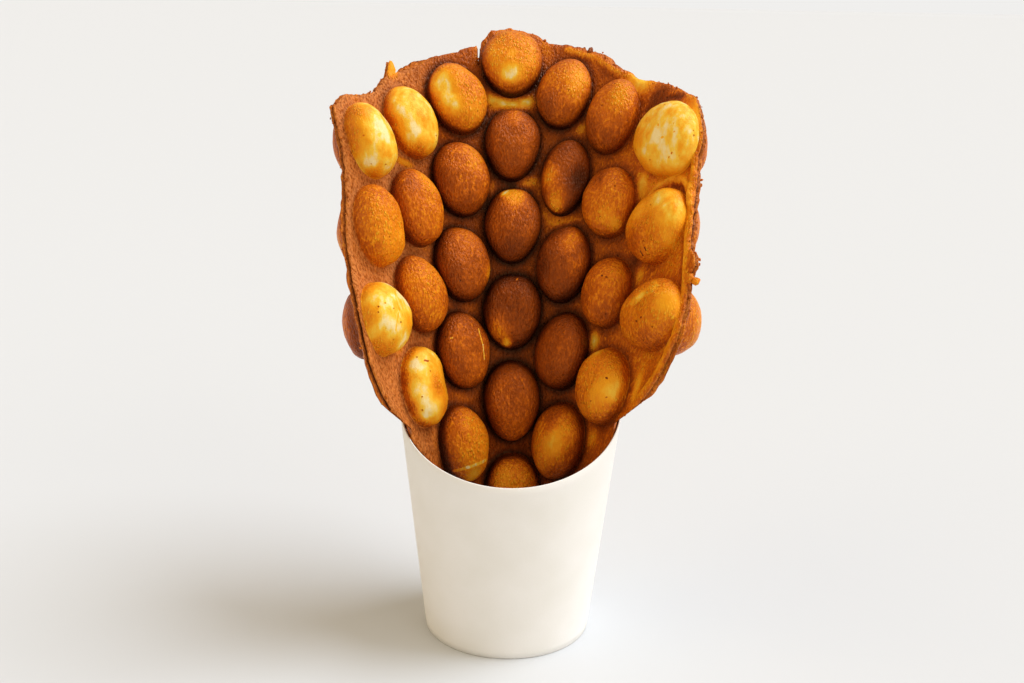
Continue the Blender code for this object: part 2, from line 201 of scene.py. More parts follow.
# Golden or dark places on the web: middle and half sizes in millimetres, and how far baked
WEB_PATCHES = (
    (0, 63.5, 12.8, 3.6, 0.06), (0, 92, 14, 4, 0.50), (-12, 83, 4, 8, 0.52), (12, 84, 4, 8, 0.50),
    (26.5, 49.5, 2.6, 2.4, 0.36), (6, 33, 4.0, 2.2, 0.34), (50.6, 19.5, 2.4, 4.6, 0.08),
    (12.5, 30, 3.2, 4.0, 0.34), (50.5, -12, 1.8, 2.6, 0.28),
    (32.5, -30.5, 2.5, 3.6, 0.08), (55.5, -51, 2.4, 8.0, 0.26), (48, 59, 7.5, 5.6, 0.12),
    (57, 17, 6, 2.4, 0.36), (66, 15, 7, 3.2, 0.38), (-42, 31, 4.4, 2.2, 0.24),
    (15.5, 22, 4.4, 7.0, 0.30), (20, 16.5, 5.0, 2.4, 0.36), (34, -65, 3, 3.6, 0.36),
    (-35, 4, 3.4, 2.8, 0.42), (-47, 66, 3, 5.5, 0.22), (-58, 44, 8, 2.4, 0.44),
    (73, 32, 6, 10.0, 0.24), (70, -2, 5, 9, 0.34), (68, -35, 6, 10, 0.40), (68, -15, 9, 5.0, 0.44),
    (-49, -35, 3.6, 4.0, 0.40), (-33, -66, 3, 5.0, 0.50),
    (-21, -48, 4, 2.6, 0.56), (-17, -15, 3.4, 2.4, 0.62), (57, 50, 5, 2.4, 0.84),
    (48, -6, 3, 3.6, 0.86), (38, 68, 6, 3.0, 0.72), (57, -43, 5, 4.0, 0.46),
    (-8, 31, 1.8, 2.2, 0.40), (72, 20, 2.4, 5.0, 0.70), (14, 66, 3.0, 6.0, 0.62),
)

# Raised folds on the inner face: line in millimetres, half width, height, and how far baked.
# Lines with a negative height are grooves beside the folds, painted dark as shade; the golden
# fold tops are partly their own paler crust, partly painted highlight.
RIDGES = (
    (((52, 11), (54, 14.5), (58, 16.3), (64, 15.8), (69, 12.5), (72, 8), (74, 1)), 1.1, 1.5, 0.24),
    (((73, 24), (73.2, 8), (73.6, -8), (74.6, -15), (75.6, -28), (75.4, -36), (74.4, -44),
      (69, -51.5), (59, -56.5)), 1.0, 1.0, 0.28),
    (((21, 82.5), (32, 75.5), (42, 65)), 1.1, 0.8, 0.36),
    (((54.5, 12.6), (58, 14.3), (63.5, 13.6), (67.5, 11), (70.5, 6.5), (71.5, 0)), 0.8, -0.4, 0.82),
    (((71.8, -9), (72.6, -20), (72.8, -36), (68, -47)), 0.8, -0.4, 0.66),
    (((52, 47), (57, 47.5), (62, 46.5), (67, 44)), 1.2, -0.5, 0.84),
)

# Where the outer skin reaches past the inner one: place in millimetres, reach, and how far
SKIN_LIPS = (
    ((-38, 70), 9, 2.2), ((36, 76), 9, 1.6), ((-57, -61), 12, 1.8), ((-36, -76), 9, 1.4),
    ((74, -47), 8, 1.4), ((55, -62), 9, 1.2), ((-71, 0), 14, 0.7),
)

# Crumbs: how rare they are on the edge, and how far out
CRUMB_RARITY = 0.35
CRUMB_OUT = 0.0002

# Larger crumbs on the edge: place in millimetres, how many times the usual size, how far baked
BIG_CRUMBS = (
    (77.6, -25.2, 3.4, 0.40), (79.0, -23.6, 2.8, 0.48), (77.0, -27.4, 2.4, 0.60),
    (78.8, -26.1, 4.8, 0.38), (21, 84.4, 3.0, 0.72), (27, 81.0, 3.2, 0.78), (30, 79.2, 2.8, 0.80),
    (35, 76.4, 1.8, 0.60), (42.4, 65.6, 1.8, 0.88), (-41, 68, 1.4, 0.50), (-60, 48.4, 1.6, 0.42),
    (-71.4, 38, 0.9, 0.40), (39.8, 69.6, 1.2, 0.60),
)

# Scratches, pinholes and paler lines on front bubbles: bubble, line in half sizes, half width in
# millimetres, and how much more they are baked
MARKS = (
    ((-1, 3), ((0.36, 0.62), (0.50, 0.25), (0.57, -0.12)), 0.17, -0.50),
    ((-1, 3), ((-0.68, 0.16), (-0.64, 0.18)), 0.32, -0.45),
    ((0, 3), ((0.07, 0.82), (0.10, 0.84)), 0.26, -0.40),
    ((-3, 2), ((-0.43, 0.40), (-0.12, -0.05)), 0.22, 0.09),
    ((-3, 2), ((-0.12, -0.15), (0.10, -0.60)), 0.22, 0.09),
    ((-2, 3), ((-0.50, 0.47), (-0.38, 0.49)), 0.28, 0.55),
    ((-3, 0), ((-0.75, -0.28), (-0.74, -0.28)), 0.34, 0.24),
    ((3, 1), ((-0.68, -0.25), (-0.75, -0.35)), 0.20, 0.45),
    ((3, 1), ((-0.60, -0.45), (-0.55, -0.38)), 0.20, 0.45),
    ((3, 0), ((0.15, 0.02), (0.17, 0.03)), 0.28, 0.20),
    ((3, 0), ((-0.03, -0.30), (0.0, -0.32)), 0.36, 0.20),
    ((3, 0), ((-0.18, -0.72), (-0.15, -0.72)), 0.26, 0.46),
    ((3, 0), ((-0.30, -0.70), (-0.27, -0.70)), 0.20, 0.40),
    ((3, 0), ((0.25, -0.50), (0.27, -0.50)), 0.20, 0.34),
    ((2, 3), ((0.64, -0.14), (0.62, -0.12)), 0.36, 0.60),
    ((2, 3), ((0.50, -0.60), (0.52, -0.60)), 0.28, 0.40),
    ((2, 3), ((0.0, -0.45), (0.02, -0.45)), 0.24, 0.34),
    ((2, 2), ((0.22, 0.32), (0.25, 0.31)), 0.26, 0.40),
    ((2, 2), ((0.38, 0.20), (0.40, 0.19)), 0.30, 0.44),
    ((-1, 4), ((-0.57, -0.75), (-0.28, -0.60), (0.50, -0.25)), 0.75, -0.26),
    # (0, 2): a paler crescent line across its top
    ((0, 2), ((-0.50, 0.67), (-0.25, 0.88), (0.0, 0.92)), 0.34, -0.14),
    ((3, 2), ((0.70, -0.18), (0.10, 0.30)), 0.75, -0.13),
    ((3, 2), ((-0.32, -0.20), (-0.30, -0.20)), 0.26, 0.40),
    ((3, 2), ((-0.20, -0.32), (-0.18, -0.32)), 0.24, 0.36),
)
# How much each direction counts in the distance from a mark
MARK_DEPTH = (1.0, 0.1, 1.0)

# Baked colours from pale to dark; the darkest also colour the painted shade in the grooves
CRUST = (
    (0.00, "F2DC9C"), (0.12, "F3C43E"), (0.25, "F1A21C"), (0.40, "E1800F"),
    (0.55, "C05D0C"), (0.70, "964208"), (0.85, "6C2A05"), (1.00, "2C0B02"),
)
DULL_WEB = "D48848"
DULL_DARK = "9A541C"
GLOSS_TINT = "FFC48E"
PAPER_TINTS = ((0.30, "ECEAE4"), (0.70, "F1EFEB"))
FLOOR = "CFD2D4"
WALL = "F0EFED"

# Light: name, azimuth, elevation and spread in degrees, strength and colour, then the room's own
SUNS = (
    ("key", 98, 55, 40, 1.00, (0.86, 0.91, 1.0)),
    ("front", 50, 22, 45, 0.24, (1.0, 0.94, 0.85)),
    ("left", -80, 35, 60, 0.20, (1.0, 0.78, 0.48)),
)
ROOM_LIGHT = (0.515, 0.435, 0.335, 1.0)


def linear(hex_colour):
    """A screen colour as the linear values that sockets take."""
    parts = [int(hex_colour[k:k + 2], 16) / 255 for k in (0, 2, 4)]
    return tuple(p / 12.92 if p <= 0.04045 else ((p + 0.055) / 1.055) ** 2.4 for p in parts) + (1.0,)


class Wire:
    """A node socket that adds a Math node wherever it meets an arithmetic sign."""

    def __init__(self, graph, socket):
        self.graph = graph
        self.socket = socket

    def also(self, name):
        """Another output of the same node."""
        return Wire(self.graph, self.socket.node.outputs[name])

    def math(self, operation, first, second):
        return self.graph.node("ShaderNodeMath", {"operation": operation}, {0: first, 1: second})

    def __add__(self, other):
        return self.math("ADD", self, other)

    def __radd__(self, other):
        return self.math("ADD", other, self)

    def __sub__(self, other):
        return self.math("SUBTRACT", self, other)

    def __rsub__(self, other):
        return self.math("SUBTRACT", other, self)

    def __mul__(self, other):
        return self.math("MULTIPLY", self, other)

    def __truediv__(self, other):
        return self.math("DIVIDE", self, other)

    def __pow__(self, other):
        return self.math("POWER", self, other)

    def at_least(self, other):
        return self.math("MAXIMUM", self, other)

    def at_most(self, other):
        return self.math("MINIMUM", self, other)

    def sine(self):
        return self.math("SINE", self, 0.0)

    def cosine(self):
        return self.math("COSINE", self, 0.0)

    def step_up(self, low, high):
        """0 below low, 1 above high, smooth between."""
        inputs = {"Value": self, "From Min": low, "From Max": high}
        return self.graph.node("ShaderNodeMapRange", {"interpolation_type": "SMOOTHSTEP"}, inputs)


class Graph:
    """Adds nodes to one node tree and hands their sockets back as wires."""

    def __init__(self, tree):
        self.tree = tree

    def node(self, kind, settings=None, inputs=None, output=0):
        made = self.tree.nodes.new(kind)
        for name, value in (settings or {}).items():
            if name == "stops":
                fill_ramp(made.color_ramp, value)
            else:
                setattr(made, name, value)
        for key, value in (inputs or {}).items():
            if isinstance(value, Wire):
                self.tree.links.new(value.socket, made.inputs[key])
            else:
                made.inputs[key].default_value = value
        return Wire(self, made.outputs[output]) if made.outputs else None

    def vector(self, operation, first, second, output=0):
        return self.node("ShaderNodeVectorMath", {"operation": operation}, {0: first, 1: second}, output)

    def mix(self, share, first, second):
        """A colour between two others."""
        return self.node("ShaderNodeMix", {"data_type": "RGBA"}, {0: share, 6: first, 7: second}, 2)

    def carried(self, label, kind="FLOAT"):
        """A value that the points carry."""
        return self.node("GeometryNodeInputNamedAttribute", {"data_type": kind}, {"Name": label})

    def scatter(self, points, piece, turn, scale):
        """Copies of one piece of batter on the points."""
        inputs = {"Points": points, "Instance": piece, "Rotation": turn, "Scale": scale}
        copies = self.node("GeometryNodeInstanceOnPoints", {}, inputs)
        real = self.node("GeometryNodeRealizeInstances", {}, {"Geometry": copies})
        return self.node("GeometryNodeSetMaterial", {}, {"Geometry": real, "Material": BATTER})


def fill_ramp(ramp, stops):
    while len(ramp.elements) < len(stops):
        ramp.elements.new(1.0)
    for element, (position, colour) in zip(ramp.elements, stops):
        element.position = position
        element.color = linear(colour)


def geometry_tree(name, sizes):
    """A geometry tree with one mesh input and the named sizes as inputs."""
    tree = bpy.data.node_groups.new(name, "GeometryNodeTree")
    tree.interface.new_socket("Geometry", in_out="INPUT", socket_type="NodeSocketGeometry")
    for label, value in sizes.items():
        kind = "NodeSocketInt" if isinstance(value, int) else "NodeSocketFloat"
        tree.interface.new_socket(label, in_out="INPUT", socket_type=kind)
    tree.interface.new_socket("Geometry", in_out="OUTPUT", socket_type="NodeSocketGeometry")
    graph = Graph(tree)
    return graph, graph.node("NodeGroupInput")


def run_geometry(carrier, graph, sizes, result):
    """Close the tree, run it on the carrier and return the plain mesh that it makes."""
    graph.node("NodeGroupOutput", {}, {0: result})
    modifier = carrier.modifiers.new(graph.tree.name, "NODES")
    modifier.node_group = graph.tree
    sockets = {s.name: s.identifier for s in graph.tree.interface.items_tree if s.in_out == "INPUT"}
    for label, value in sizes.items():
        modifier[sockets[label]] = value
    depsgraph = bpy.context.evaluated_depsgraph_get()
    made = bpy.data.meshes.new_from_object(
        carrier.evaluated_get(depsgraph), preserve_all_data_layers=True, depsgraph=depsgraph
    )
    carrier.modifiers.remove(modifier)
    return made


def add_item(name, data):
    """A new object in the scene."""
    item = bpy.data.objects.new(name, data)
    bpy.context.scene.collection.objects.link(item)
    return item


def scratch_object(name, points, attributes):
    """Loose points that carry named values, as the input of a geometry tree."""
    mesh = bpy.data.meshes.new(name)
    mesh.from_pydata([tuple(p) for p in points], [], [])
    for label, values in attributes.items():
        add_attribute(mesh, label, values)
    return add_item(name, mesh)


def add_attribute(mesh, label, values):
    values = np.asarray(values, dtype=np.float32)
    if values.ndim == 2:
        mesh.attributes.new(label, "FLOAT_VECTOR", "POINT").data.foreach_set("vector", values.ravel())
    else:
        mesh.attributes.new(label, "FLOAT", "POINT").data.foreach_set("value", values)


def read_attribute(mesh, label):
    data = mesh.attributes[label].data
    values = np.zeros(len(data), dtype=np.float32)
    data.foreach_get("value", values)
    return values


def read_points(mesh):
    values = np.zeros(len(mesh.vertices) * 3, dtype=np.float32)
    mesh.vertices.foreach_get("co", values)
    return values.reshape(-1, 3).astype(float)


def wobble(*terms):
    """Repeatable small unevenness between -1 and 1."""
    return math.sin(12.9898 * sum((k + 1.37) * t for k, t in enumerate(terms)) + 0.7)


def lumps(points, size, seed):
    """Smooth noise between about -1 and 1 with lumps of the given size."""
    scaled = np.asarray(points) / size + seed * 17.3
    return np.array([noise.noise(Vector(p)) for p in scaled])


def smooth_step(value, low, high):
    """0 below low, 1 above high, smooth between, for arrays."""
    t = np.clip((value - low) / (high - low), 0.0, 1.0)
    return t * t * (3 - 2 * t)


def curl(u, v, h):
    """Place flat sheet points at height h over the web's mid-plane, inner side positive."""
    cone = math.atan(CURL_RADIUS / APEX_BELOW)
    sin_c = math.sin(cone)
    cos_c = math.cos(cone)
    h = h + WAVE * (np.sin(95 * u + 40 * v) + np.sin(130 * v - 60 * u + 1.3))
    reach = np.hypot(u, v + APEX_BELOW)
    turn = np.arctan2(u, v + APEX_BELOW) / sin_c + TWIST
    lift = np.where(u < 0, SIDE_LIFT_LEFT, SIDE_LIFT_RIGHT) * np.abs(u / SIDE_LIFT_AT) ** 1.5
    along = reach * (cos_c**2 + sin_c**2 * np.cos(turn)) - APEX_BELOW + lift
    inward = reach * sin_c * cos_c * (1 - np.cos(turn))
    side = reach * sin_c * np.sin(turn)
    side = side - h * cos_c * np.sin(turn)
    along = along + h * sin_c * cos_c * (1 - np.cos(turn))
    inward = inward + h * (cos_c**2 * np.cos(turn) + sin_c**2)
    lean = LEAN + LEAN_PER_METRE * along
    back = (math.cos(LEAN) - np.cos(lean)) / LEAN_PER_METRE
    rise = (np.sin(lean) - math.sin(LEAN)) / LEAN_PER_METRE
    x = SHEET_X + side
    y = SHEET_Y + back - inward * np.cos(lean)
    z = SHEET_Z + rise + inward * np.sin(lean)
    return press_into_cup(x, y, z)


def press_into_cup(x, y, z):
    """Hold the points inside the cup wall, easing off above the rim."""
    radius = np.hypot(x, y)
    front = FOOT_RADIUS + CUP_TAPER * RIM_FRONT_Z
    rim = RIM_FRONT_Z + (y + front) * RIM_SLOPE
    room = FOOT_RADIUS + CUP_TAPER * z - PAPER - CUP_GAP
    room = room + np.maximum(0.0, z - rim - RIM_BLEND) * 0.8
    factor = np.minimum(1.0, room / np.maximum(radius, 1e-6))
    return np.stack([x * factor, y * factor, z], axis=-1)


def bubble_field():
    """One row of values for each bubble: u, v, half width, half length, height, tilt, column, row."""
    found = []
    for column in range(-HALF_COLUMNS, HALF_COLUMNS + 1):
        rows = CENTRE_ROWS - abs(column)
        for row in range(rows):
            right, above, wider, longer, turn = OFF_GRID.get((column, row), (0.0, 0.0, 1.0, 1.0, 0))
            uneven = 1.0 + 0.02 * wobble(column, row)
            u = column * COLUMN_PITCH + right
            v = ((rows - 1) / 2 - row) * ROW_PITCH + above
            across = BUBBLE_ACROSS * wider * uneven
            up = BUBBLE_UP * longer / uneven
            height = BUBBLE_HEIGHT * (1.0 + 0.06 * wobble(row, column, 3))
            tilt = math.radians(turn + 4.0 * wobble(column, row, 5))
            found.append((u, v, across, up, height, tilt, column, row))
    return np.array(found)


def in_bubble(field, number, u, v):
    """Place of flat points in half sizes of one bubble."""
    cu, cv, across, up, _, tilt = field[number][:6]
    du = (u - cu) * math.cos(tilt) + (v - cv) * math.sin(tilt)
    dv = (v - cv) * math.cos(tilt) - (u - cu) * math.sin(tilt)
    return du / across, dv / up


def foot_ring(bubble):
    """Flat points of the ring where a bubble leaves the web."""
    cu, cv, across, up, _, tilt = bubble[:6]
    angle = 2 * np.pi * np.arange(AROUND) / AROUND
    du = FOOT_SHARE * across * np.cos(angle)
    dv = FOOT_SHARE * up * np.sin(angle)
    u = cu + du * math.cos(tilt) - dv * math.sin(tilt)
    v = cv + du * math.sin(tilt) + dv * math.cos(tilt)
    return np.stack([u, v], axis=-1)


def torn_edge(field):
    """Fine ragged outline, kept clear of every bubble's foot."""
    corners = np.array(OUTLINE) / 1000
    points = []
    for start, end in zip(corners, np.roll(corners, -1, axis=0)):
        steps = max(1, round(np.linalg.norm(end - start) / EDGE_STEP))
        points += [start + (end - start) * k / steps for k in range(steps)]
    points = np.array(points)
    flat = np.column_stack([points, np.zeros(len(points))])
    for size, amount in ((0.006, 0.0007), (0.0018, 0.0005)):
        points[:, 0] += amount * lumps(flat, size, 1)
        points[:, 1] += amount * lumps(flat, size, 2)
    for number in range(len(field)):
        across, up = in_bubble(field, number, points[:, 0], points[:, 1])
        near = np.hypot(across, up)
        push = np.maximum(1.0, (FOOT_SHARE + 0.035) / np.maximum(near, 1e-6))[:, None]
        centre = field[number][:2]
        points = centre + (points - centre) * push
    return points


def inside(points, loop):
    """Which flat points lie within a closed loop."""
    found = np.zeros(len(points), dtype=bool)
    for a, b in zip(loop, np.roll(loop, -1, axis=0)):
        crosses = (a[1] > points[:, 1]) != (b[1] > points[:, 1])
        at = a[0] + (points[:, 1] - a[1]) * (b[0] - a[0]) / (b[1] - a[1] + 1e-15)
        found ^= crosses & (points[:, 0] < at)
    return found


def flat_tree(points):
    """Search tree of flat points."""
    tree = kdtree.KDTree(len(points))
    for k, point in enumerate(points):
        tree.insert((*point, 0.0), k)
    tree.balance()
    return tree


def web_filling(field, edge):
    """Scattered flat points between the bubbles, inside the torn edge."""
    us = np.arange(-0.084, 0.084, WEB_STEP)
    vs = np.arange(-0.098, 0.098, WEB_STEP * 0.87)
    grid = np.array([(u + (k % 2) * WEB_STEP / 2, v) for k, v in enumerate(vs) for u in us])
    flat = np.column_stack([grid, np.zeros(len(grid))])
    grid = grid + 0.0003 * np.column_stack([lumps(flat, 0.0011, 5), lumps(flat, 0.0011, 6)])
    keep = inside(grid, edge)
    for number in range(len(field)):
        across, up = in_bubble(field, number, grid[:, 0], grid[:, 1])
        keep &= np.hypot(across, up) > FOOT_SHARE + 0.06
    grid = grid[keep]
    tree = flat_tree(edge)
    return np.array([p for p in grid if tree.find((*p, 0.0))[2] > EDGE_GAP])


def web_triangles(field, edge):
    """Flat points of the web and its triangles, with a hole for every bubble."""
    rings = [foot_ring(bubble) for bubble in field]
    loops = [edge] + rings
    flat = np.concatenate(loops + [web_filling(field, edge)])
    owner = np.full(len(flat), -1)
    edges = []
    start = 0
    for number, loop in enumerate(loops):
        count = len(loop)
        owner[start:start + count] = number
        edges += [(start + k, start + (k + 1) % count) for k in range(count)]
        start += count
    points = [Vector(p) for p in flat]
    verts, _, faces, origin, _, _ = delaunay_2d_cdt(points, edges, [], 1, 1e-8)
    if len(verts) != len(flat):
        raise ValueError("the torn edge or two bubbles cross")
    order = np.array([origin[k][0] for k in range(len(verts))])
    faces = order[np.array(faces)]
    met = owner[faces]
    in_hole = (met[:, 0] == met[:, 1]) & (met[:, 1] == met[:, 2]) & (met[:, 0] > 0)
    return flat, faces[~in_hole], len(edge)


def domes(field):
    """Every bubble's half on one face, as flat-sheet points (u, v, height share) and faces."""
    sizes = {"Around": AROUND, "Up the side": UP_THE_SIDE, "Fillet share": 0.14, "Foot flare": 0.03}
    graph, given = geometry_tree("bubble_domes", sizes)
    grid = graph.node(
        "GeometryNodeMeshGrid", {},
        {"Size X": 1.0, "Size Y": 1.0, "Vertices X": given.also("Around") + 1,
         "Vertices Y": given.also("Up the side") + 1},
    )
    place = graph.node("ShaderNodeSeparateXYZ", {}, {0: graph.node("GeometryNodeInputPosition")})
    angle = (place.also("X") + 0.5) * (2 * math.pi)
    climb = place.also("Y") + 0.5
    fillet = given.also("Fillet share")
    leave = (climb / fillet).at_most(1.0)
    bend = ((climb - fillet) / (1 - fillet)).at_least(0.0) * (math.pi / 2 - 0.05) + 0.05
    out = (bend.cosine().at_least(0.0) ** DOME_POWER) * BODY_SHARE
    out = out + given.also("Foot flare") * (1 - leave) ** 2
    up = (bend.sine() ** DOME_POWER) * leave * leave
    spot = graph.node(
        "ShaderNodeCombineXYZ", {}, {0: out * angle.cosine(), 1: out * angle.sine(), 2: up}
    )
    dome = graph.node("GeometryNodeSetPosition", {}, {"Geometry": grid, "Position": spot})
    dome = graph.node("GeometryNodeMergeByDistance", {}, {"Geometry": dome, "Distance": 1e-5})
    turn = graph.node("ShaderNodeCombineXYZ", {}, {2: graph.carried("tilt")})
    real = graph.scatter(given, dome, turn, graph.carried("spread", "FLOAT_VECTOR"))
    centres = np.column_stack([field[:, :2], np.zeros(len(field))])
    spreads = np.column_stack([field[:, 2:4], np.ones(len(field))])
    carrier = scratch_object(
        "bubble_places", centres,
        {"spread": spreads, "tilt": field[:, 5], "number": np.arange(len(field))},
    )
    made = run_geometry(carrier, graph, sizes, real)
    points = read_points(made)
    numbers = np.rint(read_attribute(made, "number")).astype(int)
    faces = [tuple(p.vertices) for p in made.polygons]
    bpy.data.objects.remove(carrier, do_unlink=True)
    bpy.data.meshes.remove(made)
    return points, numbers, faces


def foot_matches(flat, points):
    """For every dome point, the web point it shares at the foot, or -1."""
    tree = flat_tree(flat)
    shared = np.full(len(points), -1)
    for k in np.flatnonzero(points[:, 2] < 1e-6):
        _, index, distance = tree.find((points[k, 0], points[k, 1], 0.0))
        if distance < 2e-5:
            shared[k] = index
    return shared


def shape_domes(field, points, numbers, side):
    """Height of the dome points over the web's mid-plane, with dents and lumps."""
    share = points[:, 2].copy()
    uv = points[:, :2].copy()
    for number, bubble in enumerate(field):
        mine = numbers == number
        key = (int(bubble[6]), int(bubble[7]))
        across, up = in_bubble(field, number, uv[mine, 0], uv[mine, 1])
        dents = DENTS.get(key, ()) if side > 0 else ()
        scale = np.ones(mine.sum())
        for du, dv, reach, depth in dents:
            scale -= depth * np.exp(-((across - du) ** 2 + (up - dv) ** 2) / reach**2)
        share[mine] *= scale
        height = bubble[4] * (1.0 if side > 0 else 0.98 + 0.05 * wobble(number, 9))
        share[mine] *= height
    seed = 3 if side > 0 else 4
    lump = lumps(np.column_stack([uv, share * side]), 0.0075, seed)
    grain = lumps(np.column_stack([uv, share * side]), 0.0022, seed + 2)
    body = smooth_step(points[:, 2], 0.0, 0.3)
    share = share * (1 + 0.055 * lump + 0.012 * grain)
    centre = field[numbers][:, :2]
    swell = 1 + body[:, None] * (0.03 * lump + 0.008 * grain)[:, None]
    uv = centre + (uv - centre) * swell
    return uv, share


def near_line(u, v, line):
    """Distance in millimetres from flat points to a line of corners."""
    points = np.column_stack([u, v]) * 1000
    nearest = np.full(len(points), np.inf)
    for start, end in zip(np.array(line[:-1], dtype=float), np.array(line[1:], dtype=float)):
        along = end - start
        share = np.clip((points - start) @ along / (along @ along), 0.0, 1.0)
        nearest = np.minimum(nearest, np.linalg.norm(points - start - share[:, None] * along, axis=1))
    return nearest


def face_relief(u, v, side, folded=1.0):
    """Low unevenness that web and bubbles share, so that their feet still meet."""
    flat = np.column_stack([u, v, np.full(len(u), 0.01 * side)])
    relief = 0.00030 * lumps(flat, 0.006, 8) + 0.00014 * lumps(flat, 0.002, 9)
    if side > 0:
        for line, half_width, height, _ in RIDGES:
            relief += folded * height / 1000 * np.exp(-(near_line(u, v, line) / half_width) ** 2)
    return relief


def crevice_shade(column, side):
    """How dark the painted shade in the groove round a bubble is: deepest in the middle of the curl."""
    return max(0.1, 1.0 - 0.13 * column**2) if side > 0 else 0.3


def web_bake_and_painted_light(field, u, v, side):
    """How far the web is baked, with painted shade: dark beside the bubbles, darker in the middle of the
    curl and dark in the grooves beside the folds; golden in patches and on the ridges, partly painted
    highlight there.
    """
    flat = np.column_stack([u, v, np.full(len(u), 0.01 * side)])
    # Darker towards the middle of the curl on the inner face: partly baked darker there, partly painted
    # shade of the hollow
    middle = np.exp(-(u / 0.024) ** 2) if side > 0 else 0.0
    bake = 0.60 - 0.06 * smooth_step(u, 0.020, 0.060) + 0.06 * lumps(flat, 0.009, 12) + 0.14 * middle
    # Painted shade: a near black band on the web beside every bubble's foot, strongest in the middle of
    # the curl
    groove_shade = np.zeros(len(u))
    for number, bubble in enumerate(field):
        across, up = in_bubble(field, number, u, v)
        gap = (np.hypot(across, up) - FOOT_SHARE) * bubble[2]
        depth = crevice_shade(bubble[6], side) * (1 - smooth_step(v, 0.082, 0.088))
        groove_shade = np.maximum(groove_shade, depth * np.exp(-(gap / GROOVE_SHADE_WIDTH) ** 2))
    bake = bake + (1.03 - bake) * groove_shade * 0.92
    if side > 0:
        for cu, cv, ru, rv, level in WEB_PATCHES:
            reach = ((u * 1000 - cu) / ru) ** 2 + ((v * 1000 - cv) / rv) ** 2
            bake = bake + (level - bake) * np.exp(-reach**1.5) * (1 - 0.45 * groove_shade)
        # Fold tops golden, partly painted highlight; the grooves beside them painted dark as shade
        for line, half_width, _, level in RIDGES:
            bake = bake + (level - bake) * np.exp(-(near_line(u, v, line) / half_width) ** 4)
    return bake


def web_dullness(u, side):
    """Where the web is dull and pinkish: the left border inside, all of it outside."""
    return smooth_step(-u, 0.024, 0.046) if side > 0 else np.full(len(u), 0.22)


def dome_bake_and_painted_light(field, points, numbers, side):
    """How far the bubbles are baked, from their own level and patches, with painted shade on the lower
    left of each rim and in the groove at its foot.
    """
    bake = np.zeros(len(points))
    for number, bubble in enumerate(field):
        mine = numbers == number
        across, up = in_bubble(field, number, points[mine, 0], points[mine, 1])
        if side > 0:
            level, patches = FRONT_BAKE_AND_PAINTED_LIGHT[(int(bubble[6]), int(bubble[7]))]
        else:
            level = BACK_BAKE.get((int(bubble[6]), int(bubble[7])), 0.50 + 0.10 * wobble(number, 4))
            patches = ((0.5 * wobble(number, 1), 0.5 * wobble(number, 2), 0.45, level - 0.14),)
        depth = crevice_shade(bubble[6], side)
        out = np.hypot(across, up)
        du = (points[mine, 0] - bubble[0]) / bubble[2]
        dv = (points[mine, 1] - bubble[1]) / bubble[3]
        # Painted shade: the rim is darker on the lower left side of each bubble, as if lit from the upper
        # right, and more so in the middle of the curl
        shaded = 0.5 - 0.5 * (0.8 * du + 0.6 * dv) / np.maximum(np.hypot(du, dv), 0.05)
        browned = smooth_step(level, 0.15, 0.45)
        rim = smooth_step(out, 0.78 - 0.16 * browned, 0.98) * np.clip(shaded + 0.8 * depth - 0.3, 0.0, 1.0)
        rim_shade_level = max(level + 0.08, 0.42 + 0.12 * browned) + 0.14 * depth * browned
        value = level + (rim_shade_level - level) * rim
        for du, dv, reach, to_level in patches:
            weight = np.exp(-(((across - du) ** 2 + (up - dv) ** 2) / reach**2) ** 1.3)
            value = value + (to_level - value) * weight
        # Painted shade in the groove at the bubble's foot, darkest in the middle of the curl
        groove_shade = smooth_step(out, 0.90, 0.985) * depth * np.clip(0.45 + 0.55 * shaded, 0.0, 1.0)
        value = value + (1.10 - value) * groove_shade * (0.60 + 0.35 * browned)
        bake[mine] = value
    return bake


def build_mesh(name, points, faces, attributes, material):
    mesh = bpy.data.meshes.new(name)
    mesh.from_pydata([tuple(p) for p in points], [], [tuple(int(k) for k in f) for f in faces])
    for label, values in attributes.items():
        add_attribute(mesh, label, values)
    mesh.materials.append(material)
    mesh.shade_smooth()
    mesh.validate()
    return add_item(name, mesh)


def edge_outward(edge):
    """Unit direction out of the sheet at every edge point, in the flat."""
    along = np.roll(edge, -1, axis=0) - np.roll(edge, 1, axis=0)
    along /= np.maximum(np.linalg.norm(along, axis=1), 1e-9)[:, None]
    return np.column_stack([-along[:, 1], along[:, 0]])


